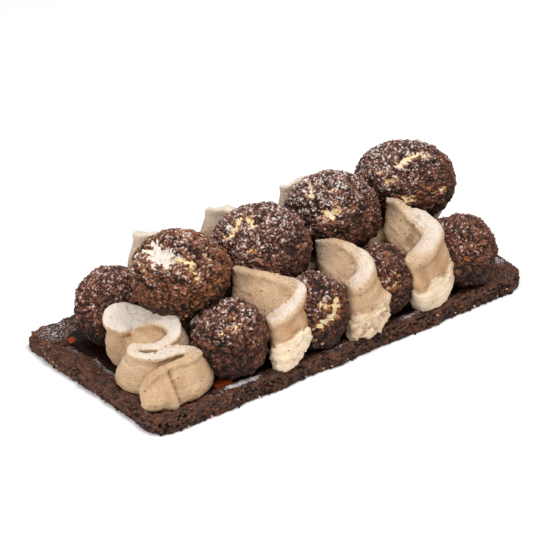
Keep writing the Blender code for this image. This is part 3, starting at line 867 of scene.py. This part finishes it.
def wall_rings(stations, crest_round, crest_flat, dish, bulge):
    """Sections of a piped wall: its points, and where on the wall each one lies.

    A place is the distance along the wall, the height and its share of the whole height, the
    share of the half thickness across, and how much sugar lies on the crest there.
    """
    crest = smooth_curve([station[0] for station in stations], STATION_STEPS)
    foot = smooth_curve([station[1] for station in stations], STATION_STEPS)
    widths = smooth_curve([station[2:] for station in stations], STATION_STEPS)
    crest_half, foot_half, tip, powder = widths.T
    middle = (crest + foot) / 2
    along = np.gradient(middle, axis=0)
    travelled = np.append(0, np.cumsum(np.linalg.norm(np.diff(middle, axis=0), axis=1)))
    side = np.cross(along, crest - foot)
    side /= np.linalg.norm(side, axis=1)[:, None]
    from_end = np.minimum(np.arange(len(crest)), np.arange(len(crest))[::-1])
    full = np.sqrt(1 - (1 - np.clip((from_end + 0.5) / (0.6 * STATION_STEPS), 0, 1)) ** 2)
    rings, places = [], []
    for k in range(len(crest)):
        up = crest[k] - foot[k]
        tall = np.linalg.norm(up)
        up /= tall
        cap = min(crest_round * crest_half[k], tall / 2)
        heights = np.linspace(0, tall - cap, 14)
        thinning = (heights / tall) ** WALL_CURVE
        halves = foot_half[k] + (crest_half[k] - foot_half[k]) * thinning
        swollen = np.interp(heights / heights[-1], WALL_SHARES, WALL_SWELL)
        halves *= 1 + bulge * (swollen - 1)
        turn = np.radians(np.arange(12, 180, 12))
        over = tall - cap + cap * np.sin(turn) ** crest_flat
        over -= dish * crest_half[k] * np.sin(turn) ** 3
        across = np.concatenate([-halves, -halves[-1] * np.cos(turn), halves[::-1]])
        above = np.concatenate([heights, over, heights[::-1]])
        tipped = above - tip[k] * across * step(above / tall, 0.6, 0.9)
        rings.append(foot[k] + tipped[:, None] * up + (across * full[k])[:, None] * side[k])
        along_here = np.full(len(above), travelled[k])
        powder_here = np.full(len(above), powder[k])
        places.append([along_here, above, above / tall, abs(across) / halves[-1], powder_here])
    return np.array(rings), np.array(places).transpose(0, 2, 1)


def evaluated_mesh(obj):
    """The points, normals, faces and edges of an object with its modifiers applied."""
    graph = bpy.context.evaluated_depsgraph_get()
    mesh = bpy.data.meshes.new_from_object(obj.evaluated_get(graph))
    points = np.array([vert.co for vert in mesh.vertices])
    normals = np.array([normal.vector for normal in mesh.vertex_normals])
    faces = [list(face.vertices) for face in mesh.polygons]
    edges = np.array([edge.vertices for edge in mesh.edges])
    bpy.data.meshes.remove(mesh)
    return points, normals, faces, edges


def make_cream(name, stations, manner, node, seed, marks=(), filling=()):
    """A piped piece: the wall merged where its folds touch, then streaked, torn and pitted."""
    *profile, pale_foot, ragged, greyed, clinging = manner
    corners, faces, places = [], [], []
    for line in filter(len, (stations, filling)):
        rings, wheres = wall_rings(line, *profile)
        faces += loft_faces(rings.shape[0], rings.shape[1], first=len(corners))
        corners += rings.reshape(-1, 3).tolist()
        places += wheres.reshape(-1, 5).tolist()
    mesh = bpy.data.meshes.new("wall")
    mesh.from_pydata(corners, [], faces)
    wall = bpy.data.objects.new("wall", mesh)
    bpy.context.scene.collection.objects.link(wall)
    remesh = wall.modifiers.new("merge_folds", "REMESH")
    remesh.mode = "VOXEL"
    remesh.voxel_size = VOXEL
    soften = wall.modifiers.new("soften", "SMOOTH")
    soften.factor = 0.5
    soften.iterations = 3
    points, normals, faces, edges = evaluated_mesh(wall)
    bpy.data.objects.remove(wall)

    tree = kdtree.KDTree(len(corners))
    for index, corner in enumerate(corners):
        tree.insert(corner, index)
    tree.balance()
    nearest = [tree.find(point)[1] for point in points.tolist()]
    along, above, share, across, powder = np.array(places)[nearest].T

    sunk = points.copy()
    links = np.bincount(edges.ravel(), minlength=len(points))[:, None]
    for _ in range(HOLLOW_ROUNDS):
        total = np.zeros_like(sunk)
        np.add.at(total, edges[:, 0], sunk[edges[:, 1]])
        np.add.at(total, edges[:, 1], sunk[edges[:, 0]])
        sunk = total / links
    hollow = np.einsum("ij,ij->i", sunk - points, normals)

    streaks = clouds(np.column_stack([along / 16, above / STREAK, np.full(len(along), seed)]), 1, 2)
    # painted shade: the hollows between folds are painted browner through this crease mask
    crease = step(hollow, 0.12, 0.6)
    ripples = clouds(points + seed, 1.5, 3)
    last_fold = step(along / along.max(), 0.5, 0.7)
    tip = last_fold * (1 - step(share, 0.2, 0.55))
    border = share + 0.1 * clouds(points, 9.0, 3)
    later = pale_foot * last_fold * (1 - step(border, 0.38, 0.44))
    swell = 0.45 * clouds(points + seed, 9.0, 2) + 0.28 * streaks * (1 - 0.7 * last_fold)
    swell += (0.18 + 0.35 * crease + 0.25 * step(share, 0.85, 1.0)) * ripples
    holes = step(clouds(points - seed, 4.5, 2), 0.1, 0.5)
    swell += ragged * tip * (1.8 * clouds(points + seed, 2.6, 3) - 1.5 * holes)
    for start, end, half, stands_out in marks:
        span = np.subtract(end, start)
        t = np.clip((points - start) @ span / max(span @ span, 1e-6), 0, 1)
        apart = points - start - t[:, None] * span
        depth = np.einsum("ij,ij->i", apart, normals)
        gap = np.linalg.norm(apart - 0.7 * depth[:, None] * normals, axis=1)
        marked = 1 - step(gap + 0.5 * ripples, 0, half)
        swell += stands_out * marked
        crease = np.maximum(crease, marked * (stands_out < 0))
    # the foot of the last fold came out of the bag later and pushes out below the rest; it is painted
    # paler, as painted light
    swell += 0.9 * later - 0.9 * pale_foot * last_fold * (1 - step(abs(border - 0.43), 0.0, 0.05))
    points = points + normals * swell[:, None]
    points[:, 2] = np.maximum(points[:, 2], CREAM_FOOT)

    lies = step(normals[:, 2], 0.2, 0.8) * step(share, 0.6, 0.85)
    rim = step(across, 0.75, 0.97)
    lies *= 1 - 0.6 * rim
    veiled = 0.5 * (1 - last_fold) * step(normals[:, 2], 0.0, 0.5) * step(share, 0.2, 0.6)
    sugar = np.maximum(lies, veiled) * powder * (1.15 + 0.3 * clouds(points, 5.0, 2)) - 0.08
    sugar += clinging * step(share, 0.4, 0.85)
    lip = rim * step(share, 0.86, 0.97) * step(powder, 0.1, 0.5)
    # painted light: paler at the foot of the last fold and, a little, low down on every piece; also
    # paler along the edges of sugared crests
    pale = later + 0.1 * (1 - step(border, 0.2, 0.6)) + 0.4 * lip
    # painted shade: the band just above the pale foot is painted browner, through the crease mask
    painted_shade_above_foot = pale_foot * last_fold * step(border, 0.42, 0.5) * (1 - step(share, 0.78, 0.95))
    crease = np.maximum(crease, painted_shade_above_foot * (0.6 + 0.5 * step(clouds(points, 7.0, 3), -0.4, 0.5)))
    # painted shadow: the first end of some ribbons is greyed for the large puffs' shadow over sugar,
    # and partly for cocoa dust
    grey = greyed * (1 - step(along + 3 * clouds(points, 6.0, 2), 3, 14)) * step(share, 0.2, 0.7)
    fields = {"sugar": sugar, "pale": pale, "crease": crease, "grey": grey}
    fields.update(along=along, above=above)
    make_piece(name, points, faces, cream, [node], fields)


# Whipped chocolate cream: soft satin, tan where the nozzle dragged it, with burst air bubbles and the
# streaks of the nozzle. It is painted paler low down and where the foot of the last fold swells out,
# as painted light, and paler along the edges of sugared crests; browner in its creases, tears and
# bubble pits, as painted shade; and grey at the first end of some ribbons, with cocoa dust and
# painted shadow of the large puffs. Its froth is drawn coarser than the real one, to show.
cream = new_material(
    "whipped_chocolate_cream",
    {
        "IOR": 1.4,
        "Specular IOR Level": 0.35,
        "Subsurface Weight": 0.12,
        "Subsurface Radius": (2.0, 1.2, 0.7),
        "Subsurface Scale": MM,
    },
)
place = add(cream, "TexCoord", {}, out="Object")
along, above, fallen, swollen, folded, cocoa = (
    add(cream, "Attribute", {}, out="Fac", attribute_name=field)
    for field in ("along", "above", "sugar", "pale", "crease", "grey")
)
far = add(cream, "Math", {0: along, 1: 1 / 14}, operation="MULTIPLY")
high = add(cream, "Math", {0: above, 1: 1 / STREAK}, operation="MULTIPLY")
drawn = add(cream, "CombineXYZ", {"X": far, "Y": high})
streaks = add(cream, "TexNoise", {"Vector": drawn, "Scale": 1.0, "Detail": 3.0})
mottle = add(cream, "TexNoise", {"Vector": place, "Scale": 1 / (6 * MM), "Detail": 3.0})
froth = add(cream, "TexNoise", {"Vector": place, "Scale": 1 / (0.7 * MM), "Detail": 3.0})
mottle = add(cream, "MapRange", {"Value": mottle, "From Min": 0.35, "From Max": 0.65})
tan = add(cream, "Mix", {0: mottle, 6: linear("#B6916C"), 7: linear("#C9A783")}, **COLOURS)
body = add(cream, "Mix", {0: swollen, 6: tan, 7: linear("#F3DFC2")}, **COLOURS)
drag = add(cream, "MapRange", {"Value": streaks, "From Min": 0.4, "From Max": 0.7, "To Max": 0.5})
body = add(cream, "Mix", {0: drag, 6: body, 7: linear("#AB7D52")}, **COLOURS)
grain = add(cream, "MapRange", {"Value": froth, "From Min": 0.4, "From Max": 0.7, "To Max": 0.3})
body = add(cream, "Mix", {0: grain, 6: body, 7: linear("#EBD6B6")}, **COLOURS)
# painted shade: creases, sunk tears and the band above the pale foot are painted browner here
torn = add(cream, "Math", {0: folded, 1: froth}, operation="MULTIPLY")
torn = add(cream, "MapRange", {"Value": torn, "From Min": 0.2, "From Max": 0.6, "To Max": 0.8})
body = add(cream, "Mix", {0: torn, 6: body, 7: linear("#A5744A")}, **COLOURS)
# painted shade: the pits of burst bubbles are painted dark brown
bubbles = add(cream, "TexVoronoi", {"Vector": place, "Scale": 1 / (4 * MM)})
pits = add(cream, "MapRange", {"Value": bubbles, "From Min": 0.13, "From Max": 0.06, "To Max": 0.8})
body = add(cream, "Mix", {0: pits, 6: body, 7: linear("#7E5232")}, **COLOURS)
# grey at the first end: cocoa dust and painted shadow of the large puffs
body = add(cream, "Mix", {0: cocoa, 6: body, 7: linear("#7A685F")}, **COLOURS)
sifted = linear("#DFD6CC")
dusted = dust(cream, place, body, fallen, 0.8, sifted, veil=0.17, thickest=0.8)
rough = add(cream, "MapRange", {"Value": froth, "To Min": 0.5, "To Max": 0.75})
height = add(cream, "Math", {0: streaks, 1: 0.6, 2: froth}, operation="MULTIPLY_ADD")
height = add(cream, "Math", {0: pits, 1: -2.0, 2: height}, operation="MULTIPLY_ADD")
bump = add(
    cream, "Bump", {"Height": height, "Strength": 0.8, "Distance": 0.5 * MM}, out="Normal"
)
wire(cream, {"Base Color": dusted, "Roughness": rough, "Normal": bump})

make_cream("cream_loaf", BED, LOAF, "cream_bed", 1.0)
make_cream("ribbon_front_1", CORNER_ZIGZAG, ZIGZAG, "cream_front_1", 2.0, PLEAT, FOLD_FILLING)
make_cream("ribbon_front_2", RIBBON_A, FOLD_A, "cream_front_2", 3.0, TORN_A)
make_cream("ribbon_front_3", RIBBON_B, FOLD_B, "cream_front_3", 4.0, TORN_B)
make_cream("ribbon_front_4", RIBBON_C, FOLD_C, "cream_front_4", 5.0, TORN_C)
for node, ribbon, shift, lift, seed in BACK_RIBBONS:
    back = turned_round(ribbon, shift, lift)
    make_cream(node.replace("cream", "ribbon"), back, BACK_FOLD, node, seed)
back = turned_round(CORNER_ZIGZAG, CORNER_SHIFT)
filling = turned_round(FOLD_FILLING, CORNER_SHIFT)
pleat = turned_round(PLEAT, CORNER_SHIFT)
make_cream("ribbon_back_4", back, ZIGZAG, "cream_back_4", 9.0, pleat, filling)


# ---------------------------------------------------------------- floor, light and camera
# A plain white table under a white tent: soft light from all round, a broad lamp overhead and a
# weaker one at the left, and the camera on a long lens, at the photograph's angle.

scene = bpy.context.scene
scene.view_settings.view_transform = "Standard"
scene.view_settings.look = "None"

table = new_material("white_table", {"Base Color": linear("#F4F4F4"), "Roughness": 0.9})
bpy.ops.mesh.primitive_plane_add(size=6.0, location=(0, 0, 0))
floor = bpy.context.object
floor.name = "floor"
floor.data.materials.append(table)

world = bpy.data.worlds.new("white_tent")
world.use_nodes = True
world.node_tree.nodes["Background"].inputs["Color"].default_value = (1, 1, 1, 1)
world.node_tree.nodes["Background"].inputs["Strength"].default_value = 0.43
scene.world = world

# Lamps: name, where it stands, width, watts
LAMPS = (
    ("lamp_overhead", (0.2, -0.25, 1.3), 0.8, 14.8),
    ("lamp_left", (-1.05, -0.3, 0.6), 0.8, 7.8),
)
for name, spot, width, power in LAMPS:
    lamp = bpy.data.lights.new(name, "AREA")
    lamp.size = width
    lamp.energy = power
    stand = bpy.data.objects.new(name, lamp)
    stand.location = spot
    stand.rotation_euler = (-Vector(spot)).to_track_quat("-Z", "Y").to_euler()
    scene.collection.objects.link(stand)

# The camera stands, looks and zooms as the corners of the shortbread in the photograph ask
CAMERA_SPOT = (-0.6137375, -0.7496162, 0.5348143)
CAMERA_AIM = (-0.0051575, 0.0041640, 0.0246648)
FOCAL_LENGTH = 151.677  # in millimetres, on a sensor 36 mm wide
lens = bpy.data.cameras.new("camera")
lens.lens = FOCAL_LENGTH
lens.sensor_width = 36.0
camera = bpy.data.objects.new("camera", lens)
camera.location = CAMERA_SPOT
aim = Vector(CAMERA_AIM) - camera.location
camera.rotation_euler = aim.to_track_quat("-Z", "Y").to_euler()
scene.collection.objects.link(camera)
scene.camera = camera
